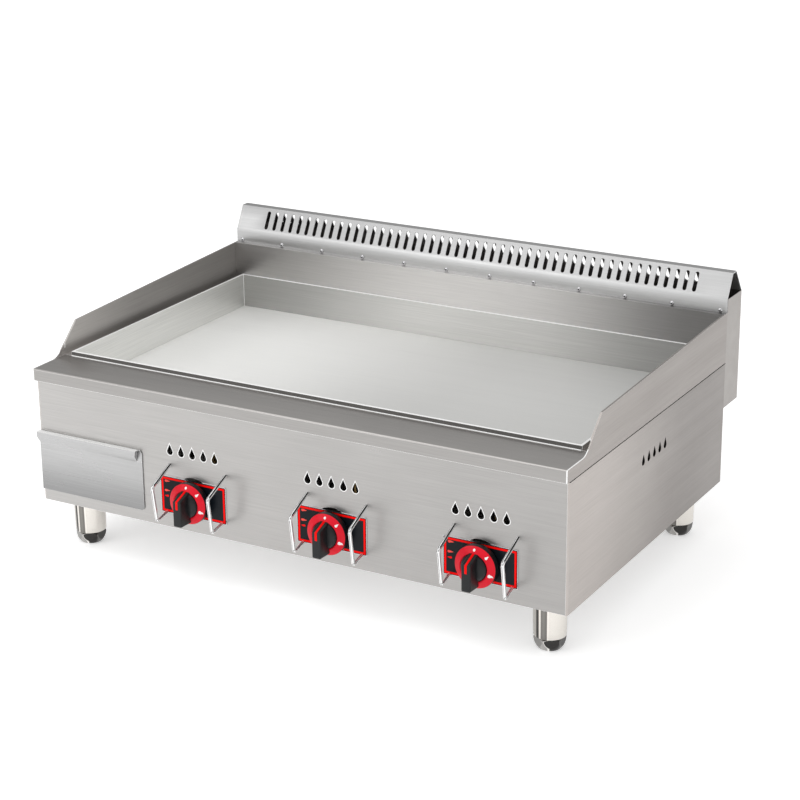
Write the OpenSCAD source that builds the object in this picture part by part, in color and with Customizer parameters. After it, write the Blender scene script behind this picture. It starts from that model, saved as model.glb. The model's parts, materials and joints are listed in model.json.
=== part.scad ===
// Countertop gas griddle: stainless cabinet, welded griddle tank, three burners,
// push-and-turn gas taps, grease drawer, rear flue with a slotted hood, screw feet.
// X runs left to right, Y from front to back, Z up; the origin is under the middle.

/* [Cabinet] */
// Width over the side panels
cabinet_w = 900; // [700:10:1200]
// Depth from the front panel's face to the back panel's face
cabinet_d = 565; // [460:5:700]
// Height of the side panels, up to the seam under the top
cabinet_h = 197; // [170:1:240]
// Thickness of the cabinet sheet
sheet_t = 1.5; // [1:0.1:2]
// Outer radius of the bent corners
bend_r = 3; // [2.2:0.1:5]
// Depth of the folded flanges inside the panels
flange_w = 10; // [6:1:14]
// Thickness of the black seal in the seam under the top
seal_t = 1.5; // [1:0.1:3]

/* [Top] */
// Height of the front ledge above the seam
ledge_rise = 20; // [14:1:30]
// How far the ledge's apron stands in front of the panel
apron_out = 8; // [4:0.5:14]
// Distance from the front panel's face to the griddle's front wall
ledge_d = 70; // [58:1:90]
// Height of the side splash guards above the ledge, at the back
splash_rise = 62; // [40:1:100]
// How much lower the side splash guards are at the front
splash_drop = 14; // [0:1:25]
// Distance from the front panel's face to the foot of the splash chamfer
chamfer_y = 50; // [40:1:60]
// Length of the splash chamfer along Y
chamfer_d = 51; // [30:1:80]
// Radius where the chamfer runs out into the ledge
chamfer_r = 30; // [5:1:40]
// Height of the hem along the splash guards' top edges
hem_h = 8; // [4:1:14]

/* [Griddle] */
// Gap between the side splash guards and the griddle's side walls
tank_inset = 14.6; // [10:0.1:25]
// Distance from the back panel's face to the griddle's rear wall
tank_back = 12; // [12:1:30]
// Thickness of the griddle's side walls
wall_t = 4; // [3:0.5:6]
// How far the walls stand above the ledge
rim_rise = 7; // [3:0.5:15]
// Depth of the griddle from the top of its rim to the plate
well_depth = 56; // [40:1:70]
// Thickness of the griddle plate
plate_t = 12; // [8:1:20]
// Radius of the grease drain through the plate
drain_r = 16; // [12:1:20]
// Distance from the griddle's corner walls to the drain's middle
drain_inset = 36; // [30:1:60]

/* [Flue and hood] */
// Depth of the flue box behind the cabinet
flue_d = 57.5; // [45:0.5:80]
// Height of the flue box's bottom above the cabinet's bottom
flue_bottom = 123; // [90:1:125]
// Height of the flue box's sides above the back splash guard
flue_rise = 21.5; // [16:0.5:40]
// Height of the hood above the flue box
hood_rise = 38; // [25:1:60]
// Depth of the hood's flat top
hood_top_d = 14.5; // [8:0.5:20]
// How far the hood's flat top stands behind the back panel's face
hood_top_y = 17; // [10:0.5:25]
// Height of the window between the cabinet and the flue
window_h = 44; // [30:1:50]
// Number of slots along the hood
slot_n = 50; // [20:1:60]
// Width of a hood slot
slot_w = 6.6; // [4:0.1:7]
// Length of a hood slot along the slope
slot_l = 32; // [20:1:34]
// Distance from the hood's end to the first slot
slot_margin = 57; // [30:1:80]
// Number of hood screws
hood_screw_n = 12; // [4:1:16]
// Distance from the hood's end to the first screw
hood_screw_margin = 11; // [9:1:30]

/* [Controls] */
// Height of the knobs above the cabinet's bottom
knob_z = 52; // [46:1:60]
// Distance from the drawer front's edge to the first knob
first_knob_gap = 91; // [70:1:110]
// Distance from the cabinet's side to the last knob
last_knob_gap = 134; // [80:1:160]
// Outer radius of the knob's dial ring
dial_r = 32; // [26:0.5:34]
// Depth of the dial ring
dial_d = 15; // [10:0.5:18]
// Gap between the label plate and the dial ring
dial_gap = 5; // [4.5:0.5:8]
// Width of the knob's grip
grip_w = 15; // [10:0.5:20]
// How far the grip's square end reaches from the knob's middle
grip_tail = 28; // [20:1:30]
// How far the grip's pointer end reaches from the knob's middle
grip_tip = 22; // [16:1:28]
// How far the pointer end slopes back at its outer corner
grip_slope = 9; // [4:1:16]
// How far the knob stands in front of the panel
knob_out = 45; // [38:1:50]
// How far a knob pushes in
push_travel = 4; // [2:0.5:4]
// Radius of the tap spindle
spindle_r = 4; // [3:0.5:4.5]
// Width of a label plate
label_w = 117; // [100:1:125]
// Height of a label plate
label_h = 59; // [50:1:64]
// Height of a label plate's middle above its knob's middle
label_rise = 1.5; // [0:0.5:4]
// Radius of the hole in the panel behind a label plate
panel_hole_r = 34; // [20:0.5:34]
// How far the wire guards stand in front of the panel
guard_out = 50; // [46:1:70]
// Radius of the guard wire
wire_r = 2.75; // [1.5:0.25:3]
// Bend radius of the guard wire's middle line
wire_bend = 6; // [5:1:12]
// Distance from a knob's middle to its guards
guard_side = 49.5; // [44:0.5:56]
// How far a guard's bar stands to the right of its low end
guard_lean = 8; // [0:1:12]

/* [Air holes] */
// Number of drop-shaped holes in a row
drop_n = 5; // [1:1:7]
// Distance between the drop-shaped holes
drop_pitch = 20; // [14:0.5:24]
// Height of a drop-shaped hole
drop_h = 17.4; // [10:0.2:20]
// Radius of the round end of a drop-shaped hole
drop_r = 5.2; // [3:0.1:6]
// Height of the front holes' middles above the knobs' middles
drop_above_knob = 74; // [68:1:90]
// Height of the side holes' middles above the cabinet's bottom
side_drop_z = 144; // [110:1:150]
// Distance from the front panel's face to the middle side hole
side_drop_y = 291; // [150:1:400]

/* [Drawer] */
// Width of the drawer front
drawer_w = 193; // [150:1:230]
// Height of the drawer front
drawer_h = 97; // [90:1:100]
// Height of the drawer front's lower edge above the cabinet's bottom
drawer_z = 18; // [12:1:24]
// Depth of the drawer's tray
tray_d = 400; // [250:5:430]
// Thickness of the tray's sheet
tray_t = 1.2; // [0.8:0.1:1.5]
// How far the drawer's lip stands forward
lip_out = 9; // [5:0.5:14]
// Height of the drawer's lip
lip_h = 19; // [12:1:24]
// Clearance between the drawer and what it slides on
slide_gap = 0.5; // [0.3:0.1:1]

/* [Burners] */
// Outer radius of a burner's two bars
burner_r = 14; // [10:0.5:15]
// Distance between the middles of a burner's bars
burner_bars = 140; // [100:5:160]
// Gap between the burners and the griddle plate
flame_gap = 24; // [15:1:30]
// Wall thickness of the burner tubes
burner_wall = 1.5; // [1:0.1:2]
// Outer radius of the gas manifold
manifold_r = 10.5; // [8:0.5:12]
// Outer radius of the inlet's pipe thread
inlet_r = 10.5; // [8:0.25:13.25]
// Length of the inlet's pipe thread
inlet_l = 20; // [14:1:25]

/* [Legs] */
// Height of the cabinet's bottom above the floor, feet screwed in
leg_h = 78; // [60:1:110]
// Outer radius of a leg at its top
leg_r = 25; // [20:0.5:30]
// Outer radius of a leg at its bottom
leg_low_r = 24; // [18:0.5:30]
// Distance from the cabinet's sides and front to a leg's middle
leg_inset = 49; // [40:1:70]
// Height of a foot
foot_h = 19; // [14:1:26]
// Radius of a foot's threaded stud
stud_r = 8; // [5:0.5:10]
// Travel of a foot on its thread
foot_travel = 25; // [10:1:30]

/* [Hidden] */
$fn = 96;

half_w = cabinet_w / 2;
inner_w = half_w - sheet_t;                       // inner face of the side sheets
skirt_z = cabinet_h + seal_t / 2;                 // lower edge of the top's skirts
panel_top = cabinet_h - seal_t / 2;               // upper edge of the side panels
ledge_z = cabinet_h + ledge_rise;
rim_z = ledge_z + rim_rise;
plate_z = rim_z - well_depth;
plate_under = plate_z - plate_t;
splash_z = ledge_z + splash_rise;
tank_w = half_w - tank_inset;                     // outer face of the griddle's side walls
tank_y = cabinet_d - tank_back;                   // outer face of the griddle's rear wall
chamfer_top = [chamfer_y + chamfer_d, splash_z - splash_drop];
chamfer_a = atan2(chamfer_top[1] - ledge_z, chamfer_d);

panel_in = half_w - bend_r;                       // half width of the flat front panel
front_top = ledge_z - sheet_t;
back_top = splash_z + flue_rise;
window_w = cabinet_w - 100;
window_z = plate_under - window_h + 14;           // the window reaches past the plate's underside

drawer_x = -half_w + drawer_w;                    // right edge of the drawer front
tray_side = 14;                                   // from the drawer front's edges to the tray
tray_x0 = -half_w + tray_side;
tray_x1 = drawer_x - tray_side;
runner_t = 1.5;
tray_z = drawer_z + 7;
opening_gap = 5;                                  // around the tray, in the front panel
runner_z = tray_z - slide_gap;                    // top of the runner's flange

burner_z = plate_under - flame_gap - burner_r;    // axis of the burner bars
shield_z = burner_z - burner_r - 12;              // top of the heat shield's floor
shield_t = 1.2;
tray_top = shield_z - shield_t - 6;
shield_y = ledge_d + 8;                           // front face of the heat shield's wall
venturi_r = 12;
jet_hole_r = 11;
cross_r = 11.5;
cross_y = shield_y + 100;
bar_end = tank_y - 50;
burner_x = [for (i = [-1:1]) i * (2 * tank_w / 3)];
knob_x1 = drawer_x + first_knob_gap;
knob_x3 = half_w - last_knob_gap;
knob_x = [knob_x1, (knob_x1 + knob_x3) / 2, knob_x3];
manifold_y = 47;
plug_r = spindle_r + 4;
tap_r = plug_r + 5;
run_gap = 0.05;                                   // radial clearance of turning shafts
manifold_z = knob_z - tap_r - manifold_r + 2;
manifold_x0 = knob_x1 - 30;
manifold_x1 = half_w - 50;
tap_y0 = 26;
tap_y1 = 66;
plug_y0 = tap_y0 - 3;
collar_y = 8;                                     // rear face of the spindle's collar
collar_r = spindle_r + 2.8;
riser_y = 58;
injector_y = riser_y + 7;
inlet_y = cabinet_d + 14;                         // start of the inlet's thread
label_y = -sheet_t;                               // front face of the label plates
dial_y1 = label_y - dial_gap;
dial_y0 = dial_y1 - dial_d;
hub_r = 20;
label_z = knob_z + label_rise;
guard_low_z = label_z - label_h / 2 + 0.5;        // the low end stands in a notch of the label
guard_top_z = label_z + label_h / 2 + wire_r + 16;
guard_bend_z = label_z + label_h / 2 - 2.5;
guard_points = [                                  // the wire's corners, top end first
    [guard_lean, 0, guard_top_z], [guard_lean, wire_r - guard_out, guard_bend_z],
    [guard_lean, wire_r + 9 - guard_out, guard_low_z], [0, 0, guard_low_z]
];
drop_steps = 24;
wire_sides = 12;
arc_steps = 5;
guard_path = bent_path(guard_points);
guard_end = len(guard_path) - 1;
guard_skin = [                                    // its two ends are cut flat on the panel
    for (k = [0:guard_end], j = [0:wire_sides - 1])
        let (
            h = heading(guard_path, k), n = unit(cross([1, 0, 0], h)), a = j * 360 / wire_sides,
            q = guard_path[k] + wire_r * (cos(a) * cross(h, n) + sin(a) * n)
        )
        k == 0 || k == guard_end ? q - h * q[1] / h[1] : q
];
guard_reach = -min([for (q = guard_skin) q[1]]);
origin_y = (cabinet_d + flue_d - max(guard_reach, knob_out)) / 2;
drawer_gap = 0.3;                                 // between the drawer front and the panel
corner_cut = 6;                                   // radius of the drawer front's corners
drain = [-tank_w + wall_t + drain_inset, ledge_d + wall_t + drain_inset];
leg_x = half_w - leg_inset;
leg_y = [leg_inset, cabinet_d - leg_inset];
leg_wall = 2;
leg_flange = 70;
bush_h = 14;
seat_gap = 1;                                     // between a screwed-in foot and its leg
stud_l = foot_travel + bush_h + 8;
hood_y0 = cabinet_d - 2 * sheet_t;                // front face of the hood's flange
hood_top_z = back_top + hood_rise;
hood_line = [                                     // outer line of the hood, front to back
    [hood_y0, splash_z], [hood_y0, back_top], [cabinet_d + hood_top_y, hood_top_z],
    [cabinet_d + hood_top_y + hood_top_d, hood_top_z], [cabinet_d + flue_d, back_top]
];
front_slope = hood_line[2] - hood_line[1];
rear_slope = hood_line[3] - hood_line[4];
screw_r = 2;
screw_z = splash_z + 3.6;
screw_head_r = 3.6;
screw_x = [
    for (i = [0:hood_screw_n - 1])
        -half_w + hood_screw_margin
            + i * (cabinet_w - 2 * hood_screw_margin) / (hood_screw_n - 1)
];

// Puts the cabinet's own coordinates (front face, cabinet bottom) in the part's frame
module rest() {
    translate([0, -origin_y, leg_h]) children();
}

// Extrudes a (y, z) outline along X between two places
module along_x(x0, x1) {
    translate([x0, 0, 0]) rotate([90, 0, 90]) linear_extrude(x1 - x0) children();
}

// Extrudes an (x, z) outline along Y between two places
module along_y(y0, y1) {
    translate([0, y1, 0]) rotate([90, 0, 0]) linear_extrude(y1 - y0) children();
}

// A box between two corners
module block(a, b) {
    translate(a) cube(b - a);
}

// A rod along Y
module rod_y(x, z, y0, y1, r) {
    translate([x, y0, z]) rotate([-90, 0, 0]) cylinder(h = y1 - y0, r = r);
}

// A quarter ring, the cross-section of a bent corner whose middle is the origin
module bend_ring(r, t) {
    intersection() {
        difference() {
            circle(r = r);
            circle(r = r - t);
        }
        square(r);
    }
}

// A drop-shaped outline around its middle, point up
module drop() {
    rise = drop_h - drop_r;
    side = asin(drop_r / rise);                   // where the round end meets the straight sides
    arc = 180 + 2 * side;
    translate([0, drop_r - drop_h / 2]) polygon([
        for (k = [0:drop_steps]) let (a = side - k * arc / drop_steps) drop_r * [cos(a), sin(a)],
        [0, rise]
    ]);
}

// A row of drop-shaped outlines around its middle
module drop_row() {
    for (i = [0:drop_n - 1]) translate([(i - (drop_n - 1) / 2) * drop_pitch, 0]) drop();
}

// Faces of a closed tube of rings with so many sides each
function tube_faces(rings, sides) = [
    for (k = [0:rings - 2], j = [0:sides - 1])
        let (n = (j + 1) % sides)
            [sides * k + j, sides * k + n, sides * (k + 1) + n, sides * (k + 1) + j],
    [for (j = [sides - 1:-1:0]) j], [for (j = [0:sides - 1]) sides * (rings - 1) + j]
];

// Cabinet

module base_pan() {
    slot_rows = 9;
    slot_run = cabinet_d - 3 * leg_inset;
    color("silver") rest() {
        difference() {
            union() {
                block([-inner_w, bend_r, 0], [inner_w, cabinet_d - sheet_t, sheet_t]);
                block([-panel_in, sheet_t, 0], [panel_in, bend_r + 1, sheet_t]);
            }
            for (x = burner_x, i = [0:slot_rows - 1])
                translate([x - 60, 1.5 * leg_inset + (i + 0.5) * slot_run / slot_rows - 6, -1])
                    cube([120, 12, sheet_t + 2]);
        }
        for (s = [-1, 1])
            block([s * inner_w - (s + 1) / 2 * sheet_t, sheet_t + flange_w, sheet_t],
                  [s * inner_w - (s - 1) / 2 * sheet_t, cabinet_d - sheet_t, flange_w]);
    }
}

// Side sheet with a bent front corner, a flange under the top and a row of air holes
module side_panel() {
    rest() {
        linear_extrude(panel_top) {
            translate([inner_w, bend_r]) square([sheet_t, cabinet_d - bend_r]);
            translate([panel_in, bend_r]) mirror([0, 1]) bend_ring(bend_r, sheet_t);
        }
        block([inner_w - flange_w, 2 * sheet_t, panel_top - sheet_t],
              [inner_w, cabinet_d - 2 * sheet_t, panel_top]);
    }
}

module holed_side_panel() {
    difference() {
        side_panel();
        rest() translate([0, side_drop_y, side_drop_z]) along_x(inner_w - 1, half_w + 1) drop_row();
    }
}

module right_side_panel() {
    color("lightgray") holed_side_panel();
}

module left_side_panel() {
    color("lightgray") mirror([1, 0, 0]) holed_side_panel();
}

module front_panel() {
    color("gainsboro") rest() {
        along_y(0, sheet_t) difference() {
            translate([-panel_in, 0]) square([2 * panel_in, front_top]);
            translate([tray_x0 - opening_gap, drawer_z + 3])
                square([tray_x1 - tray_x0 + 2 * opening_gap, tray_top - drawer_z]);
            for (x = knob_x) {
                translate([x, label_z]) circle(r = panel_hole_r);
                translate([x, knob_z + drop_above_knob]) drop_row();
            }
        }
        for (s = [-1, 1])
            block([s * panel_in - (s + 1) / 2 * sheet_t, sheet_t, sheet_t],
                  [s * panel_in - (s - 1) / 2 * sheet_t, sheet_t + flange_w, panel_top - sheet_t]);
        block([-panel_in + flange_w, sheet_t, front_top - sheet_t],
              [panel_in - flange_w, sheet_t + flange_w, front_top]);
    }
}

module back_panel() {
    color("lightgray") rest() difference() {
        along_y(cabinet_d - sheet_t, cabinet_d) difference() {
            translate([-inner_w, 0]) square([2 * inner_w, back_top]);
            translate([-window_w / 2, window_z]) square([window_w, window_h]);
            translate([manifold_x1, manifold_z]) circle(r = manifold_r);
        }
        screw_shanks();
    }
}

module top_seal() {
    color("black") rest() for (s = [-1, 1])
        block([s * (inner_w + 0.5) - (s + 1) / 2 * flange_w, 2 * sheet_t, panel_top],
              [s * (inner_w + 0.5) - (s - 1) / 2 * flange_w, cabinet_d - 2 * sheet_t, skirt_z]);
}

// Top

module front_ledge() {
    color("darkgray") rest() along_x(-inner_w, inner_w) {
        translate([-apron_out, skirt_z]) square([sheet_t, ledge_rise - seal_t / 2 - bend_r]);
        translate([bend_r - apron_out, ledge_z - bend_r]) mirror([1, 0]) bend_ring(bend_r, sheet_t);
        translate([bend_r - apron_out, front_top]) square([ledge_d + apron_out - bend_r, sheet_t]);
        translate([-apron_out, skirt_z]) square([apron_out, sheet_t]);
        translate([ledge_d - sheet_t, ledge_z - flange_w]) square([sheet_t, flange_w]);
    }
}

// Side view of a splash guard and the skirt under it
module splash_outline() {
    foot = [chamfer_y, ledge_z];
    run = chamfer_r * tan(chamfer_a / 2);
    polygon([
        [-apron_out, skirt_z], [cabinet_d, skirt_z], [cabinet_d, splash_z],
        chamfer_top, foot, [-apron_out, ledge_z]
    ]);
    difference() {
        polygon([
            foot, foot + run * [cos(chamfer_a), sin(chamfer_a)],
            foot + [-run, chamfer_r], foot + [-run, 0]
        ]);
        translate(foot + [-run, chamfer_r]) circle(r = chamfer_r);
    }
}

module side_splash() {
    rest() {
        along_x(inner_w, half_w) splash_outline();
        along_x(inner_w - sheet_t, inner_w) intersection() {
            difference() {
                splash_outline();
                translate([0, -hem_h]) splash_outline();
            }
            translate([ledge_d, ledge_z]) square([tank_y - ledge_d, splash_rise]);
        }
        block([tank_w, ledge_d, front_top], [inner_w, tank_y, ledge_z]);
        block([inner_w - flange_w, ledge_d, skirt_z], [inner_w, tank_y, skirt_z + sheet_t]);
    }
}

module right_splash() {
    color("silver") side_splash();
}

module left_splash() {
    color("silver") mirror([1, 0, 0]) side_splash();
}

module back_splash() {
    color("silver") rest() along_x(-inner_w, inner_w) {
        translate([tank_y, skirt_z]) square([sheet_t, splash_z - skirt_z]);
        translate([tank_y + sheet_t, splash_z - sheet_t])
            square([hood_y0 - tank_y - sheet_t, sheet_t]);
    }
}

// Griddle

module griddle_plate() {
    color("whitesmoke") rest() difference() {
        block([-tank_w + wall_t, ledge_d + wall_t, plate_under],
              [tank_w - wall_t, tank_y - wall_t, plate_z]);
        translate([drain[0], drain[1], plate_under - 1]) cylinder(h = plate_t + 2, r = drain_r);
    }
}

module griddle_walls() {
    color("silver") rest() {
        block([-tank_w, ledge_d, plate_under], [tank_w, ledge_d + wall_t, rim_z]);
        block([-tank_w, tank_y - wall_t, plate_under], [tank_w, tank_y, rim_z]);
        for (s = [-1, 1])
            block([s * tank_w - (s + 1) / 2 * wall_t, ledge_d + wall_t, plate_under],
                  [s * tank_w - (s - 1) / 2 * wall_t, tank_y - wall_t, rim_z]);
    }
}

module grease_chute() {
    color("silver") rest() translate([drain[0], drain[1], 0]) difference() {
        union() {
            translate([0, 0, plate_under - 3]) cylinder(h = 3, r = drain_r + 8);
            translate([0, 0, tray_top + 3]) cylinder(h = plate_under - tray_top - 4, r = drain_r + 2);
        }
        translate([0, 0, tray_top]) cylinder(h = plate_under, r = drain_r);
    }
}

// Flue and hood

module flue_box() {
    y1 = cabinet_d + flue_d;
    color("lightgray") rest() difference() {
        block([-half_w, cabinet_d, flue_bottom], [half_w, y1, back_top]);
        block([-inner_w, cabinet_d + sheet_t, flue_bottom + sheet_t],
              [inner_w, y1 - sheet_t, back_top + 1]);
        translate([0, 0, window_z]) block([-window_w / 2, cabinet_d - 1, 0],
                                          [window_w / 2, cabinet_d + 2, window_h]);
        screw_shanks();
    }
}

// Rounded slots through one slope of the hood, starting from its fold
module hood_slots(fold, slope) {
    pitch = (cabinet_w - 2 * slot_margin) / (slot_n - 1);
    low = (norm(slope) - slot_l) / 2;
    translate([0, fold[0], fold[1]]) rotate([atan2(slope[1], slope[0]), 0, 0])
        for (i = [0:slot_n - 1])
            translate([-half_w + slot_margin + i * pitch, low, -4]) linear_extrude(8) {
                translate([-slot_w / 2, slot_w / 2]) square([slot_w, slot_l - slot_w]);
                translate([0, slot_w / 2]) circle(r = slot_w / 2);
                translate([0, slot_l - slot_w / 2]) circle(r = slot_w / 2);
            }
}

module vent_hood() {
    t = sheet_t;
    p = hood_line;
    tilt = t / cos(atan2(front_slope[0], front_slope[1]));
    color("whitesmoke") rest() difference() {
        along_x(-half_w, half_w) polygon([
            p[0], p[1], p[2], p[3], p[4],
            p[4] - [tilt, 0], p[3] - [t * 0.6, t], p[2] + [t * 0.6, -t],
            p[1] + [t, 0], p[0] + [t, 0]
        ]);
        hood_slots(p[1], front_slope);
        hood_slots(p[4], rear_slope);
        screw_shanks();
    }
}

module screw_shanks() {
    for (x = screw_x) rod_y(x, screw_z, hood_y0, cabinet_d + 6, screw_r);
}

module hood_screws() {
    color("darkgray") rest() {
        screw_shanks();
        for (x = screw_x) rod_y(x, screw_z, hood_y0 - 2, hood_y0, screw_head_r);
    }
}

// Burners and gas

module heat_shield() {
    color("dimgray") rest() difference() {
        union() {
            block([-inner_w, shield_y, shield_z - shield_t],
                  [inner_w, cabinet_d - sheet_t, shield_z]);
            block([-inner_w, shield_y, shield_z], [inner_w, shield_y + shield_t, plate_under]);
        }
        for (x = knob_x) rod_y(x, burner_z, shield_y - 1, shield_y + 3, jet_hole_r);
        translate([drain[0], drain[1], shield_z - 3]) cylinder(h = 6, r = drain_r + 4);
    }
}

// Two bars joined by a cross tube, fed by a venturi in line with its tap
module burner(i) {
    x = burner_x[i];
    bars = [x - burner_bars / 2, x + burner_bars / 2];
    cross = [min(bars[0], knob_x[i]), max(bars[1], knob_x[i])];
    color("slategray") rest() difference() {
        union() {
            for (b = bars) rod_y(b, burner_z, cross_y - 20, bar_end, burner_r);
            translate([cross[0], cross_y, burner_z]) rotate([0, 90, 0])
                cylinder(h = cross[1] - cross[0], r = cross_r);
            rod_y(knob_x[i], burner_z, shield_y + 10, cross_y, venturi_r);
        }
        rod_y(knob_x[i], burner_z, shield_y + 9, cross_y - cross_r - 8, venturi_r - burner_wall);
        for (b = bars, j = [0:7])
            translate([b - 1, cross_y + 30 + j * (bar_end - cross_y - 60) / 8, burner_z + burner_r - 3])
                cube([2, (bar_end - cross_y - 60) / 12, 6]);
    }
}

module burner_left() { burner(0); }
module burner_middle() { burner(1); }
module burner_right() { burner(2); }

module burner_rails() {
    color("dimgray") rest() for (y = [cross_y + 20, bar_end - 25])
        block([-tank_w + 30, y, shield_z], [tank_w - 30, y + 12, burner_z - burner_r]);
}

module gas_manifold() {
    color("goldenrod") rest() difference() {
        union() {
            translate([manifold_x0, manifold_y, manifold_z]) rotate([0, 90, 0])
                cylinder(h = manifold_x1 - manifold_x0, r = manifold_r);
            rod_y(manifold_x1, manifold_z, manifold_y, cabinet_d - 30, manifold_r);
            translate([manifold_x1, manifold_y, manifold_z]) sphere(r = manifold_r);
        }
        rod_y(manifold_x1, manifold_z, manifold_y + 20, cabinet_d, manifold_r - 2);
    }
}

module gas_inlet() {
    color("goldenrod") rest() translate([manifold_x1, 0, manifold_z]) difference() {
        union() {
            rod_y(0, 0, cabinet_d - 30, inlet_y, manifold_r);
            translate([0, cabinet_d, 0]) rotate([-90, 0, 0])
                cylinder(h = inlet_y - cabinet_d, r = manifold_r + 5, $fn = 6);
            rod_y(0, 0, inlet_y, inlet_y + inlet_l, inlet_r);
        }
        rod_y(0, 0, cabinet_d - 31, inlet_y + inlet_l + 1, manifold_r - 3);
    }
}

// Brass tap clamped on the manifold, with a riser up to the injector
module tap_body(i) {
    x = knob_x[i];
    color("goldenrod") rest() difference() {
        union() {
            rod_y(x, knob_z, tap_y0, tap_y1, tap_r);
            block([x - 9, manifold_y - 11, manifold_z], [x + 9, manifold_y + 11, knob_z]);
            translate([x, riser_y, knob_z]) cylinder(h = burner_z - knob_z + 7, r = 7);
        }
        rod_y(x, knob_z, tap_y0 - 1, tap_y1 - 6, plug_r + run_gap);
        translate([x - 12, manifold_y, manifold_z]) rotate([0, 90, 0])
            cylinder(h = 24, r = manifold_r);
    }
}

module tap_body_1() { tap_body(0); }
module tap_body_2() { tap_body(1); }
module tap_body_3() { tap_body(2); }

module tap_plug(i) {
    color("darkgoldenrod") rest() difference() {
        union() {
            rod_y(knob_x[i], knob_z, plug_y0, tap_y1 - 7, plug_r);
            rod_y(knob_x[i], knob_z, plug_y0, tap_y0 - 0.5, plug_r + 3);
        }
        rod_y(knob_x[i], knob_z, plug_y0 - 1, tap_y1 - 16, spindle_r + run_gap);
    }
}

module tap_plug_1() { tap_plug(0); }
module tap_plug_2() { tap_plug(1); }
module tap_plug_3() { tap_plug(2); }

module tap_spindle(i) {
    color("lightgray") rest() {
        rod_y(knob_x[i], knob_z, dial_y0 - 8, tap_y1 - 17 - push_travel, spindle_r);
        rod_y(knob_x[i], knob_z, collar_y - 2, collar_y, collar_r);
    }
}

module tap_spindle_1() { tap_spindle(0); }
module tap_spindle_2() { tap_spindle(1); }
module tap_spindle_3() { tap_spindle(2); }

// A square-wire return spring between the spindle's collar and the plug
module tap_spring(i) {
    turns = 5;
    steps = 12;
    wire = 0.9;
    coil_r = spindle_r + 1.6;
    length = plug_y0 - collar_y - wire;
    count = turns * steps;
    section = [[-1, -1], [1, -1], [1, 1], [-1, 1]] * (wire / 2);
    points = [
        for (k = [0:count], c = section)
            let (a = k * 360 / steps, r = coil_r + c[0])
                [r * cos(a), wire / 2 + c[1] + k * length / count, r * sin(a)]
    ];
    color("silver") rest() translate([knob_x[i], collar_y, knob_z])
        polyhedron(points = points, faces = tube_faces(count + 1, 4));
}

module tap_spring_1() { tap_spring(0); }
module tap_spring_2() { tap_spring(1); }
module tap_spring_3() { tap_spring(2); }

module injectors() {
    color("goldenrod") rest() for (x = knob_x) {
        translate([x, injector_y, burner_z]) rotate([-90, 0, 0]) cylinder(h = 6, r = 5.5, $fn = 6);
        rod_y(x, burner_z, injector_y + 6, shield_y + 6, 3.5);
    }
}

module pilot_burners() {
    color("slategray") rest() for (x = burner_x) {
        block([x - 8, cross_y + 40, shield_z], [x + 8, cross_y + 60, shield_z + 2]);
        translate([x, cross_y + 50, shield_z + 2]) cylinder(h = burner_z - shield_z, r = 4);
    }
}

// Controls

// Dial ring with a sloping front, drawn as a half section and turned about Y
module knob_dial(i) {
    color("crimson") rest() translate([knob_x[i], dial_y1, knob_z]) rotate([90, 0, 0])
        rotate_extrude() polygon([
            [hub_r, 0], [dial_r - 1, 0], [dial_r, 1], [dial_r, 3],
            [hub_r + 3, dial_d], [hub_r, dial_d]
        ]);
}

module knob_dial_1() { knob_dial(0); }
module knob_dial_2() { knob_dial(1); }
module knob_dial_3() { knob_dial(2); }

module knob_grip(i) {
    grip_d = knob_out + dial_y1;
    color("black") rest() translate([knob_x[i], dial_y1, knob_z]) rotate([90, 0, 0]) difference() {
        union() {
            cylinder(h = dial_d, r = hub_r);
            translate([-grip_w / 2, 0, 0]) rotate([90, 0, 90]) linear_extrude(grip_w) polygon([
                [-grip_tail, dial_d], [grip_tip, dial_d], [grip_tip - grip_slope, grip_d],
                [-grip_tail, grip_d]
            ]);
        }
        translate([0, 0, -1]) cylinder(h = dial_d + 9, r = spindle_r);
    }
}

module knob_grip_1() { knob_grip(0); }
module knob_grip_2() { knob_grip(1); }
module knob_grip_3() { knob_grip(2); }

module label_plate(i) {
    color("black") rest() along_y(label_y, 0) translate([knob_x[i], knob_z]) difference() {
        translate([-label_w / 2, label_rise - label_h / 2]) square([label_w, label_h]);
        circle(r = spindle_r + 2);
        for (s = [-1, 1])
            translate([s * guard_side, guard_low_z - knob_z]) circle(r = wire_r + 0.8);
    }
}

module label_plate_1() { label_plate(0); }
module label_plate_2() { label_plate(1); }
module label_plate_3() { label_plate(2); }

// The wire's middle line, with an arc in place of each inner corner
function bent_path(p) = [
    p[0], for (k = [1:len(p) - 2]) each corner_arc(p[k - 1], p[k], p[k + 1]), p[len(p) - 1]
];

function corner_arc(a, b, c) =
    let (
        u = unit(a - b), v = unit(c - b), half = acos(u * v) / 2, turn = 180 - 2 * half,
        middle = b + wire_bend / sin(half) * unit(u + v),
        start = b + wire_bend / tan(half) * u - middle,
        end = b + wire_bend / tan(half) * v - middle
    )
    [
        for (k = [0:arc_steps])
            let (t = turn * k / arc_steps)
            middle + (sin(turn - t) * start + sin(t) * end) / sin(turn)
    ];

function unit(v) = v / norm(v);

function heading(p, k) = unit(p[min(k + 1, len(p) - 1)] - p[k] + (p[k] - p[max(k - 1, 0)]));

module knob_guards(i) {
    color("gainsboro") rest() for (s = [-1, 1])
        translate([knob_x[i] + s * guard_side, 0, 0])
            polyhedron(points = guard_skin, faces = tube_faces(len(guard_path), wire_sides));
}

module knob_guards_1() { knob_guards(0); }
module knob_guards_2() { knob_guards(1); }
module knob_guards_3() { knob_guards(2); }

// Drawer

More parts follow.
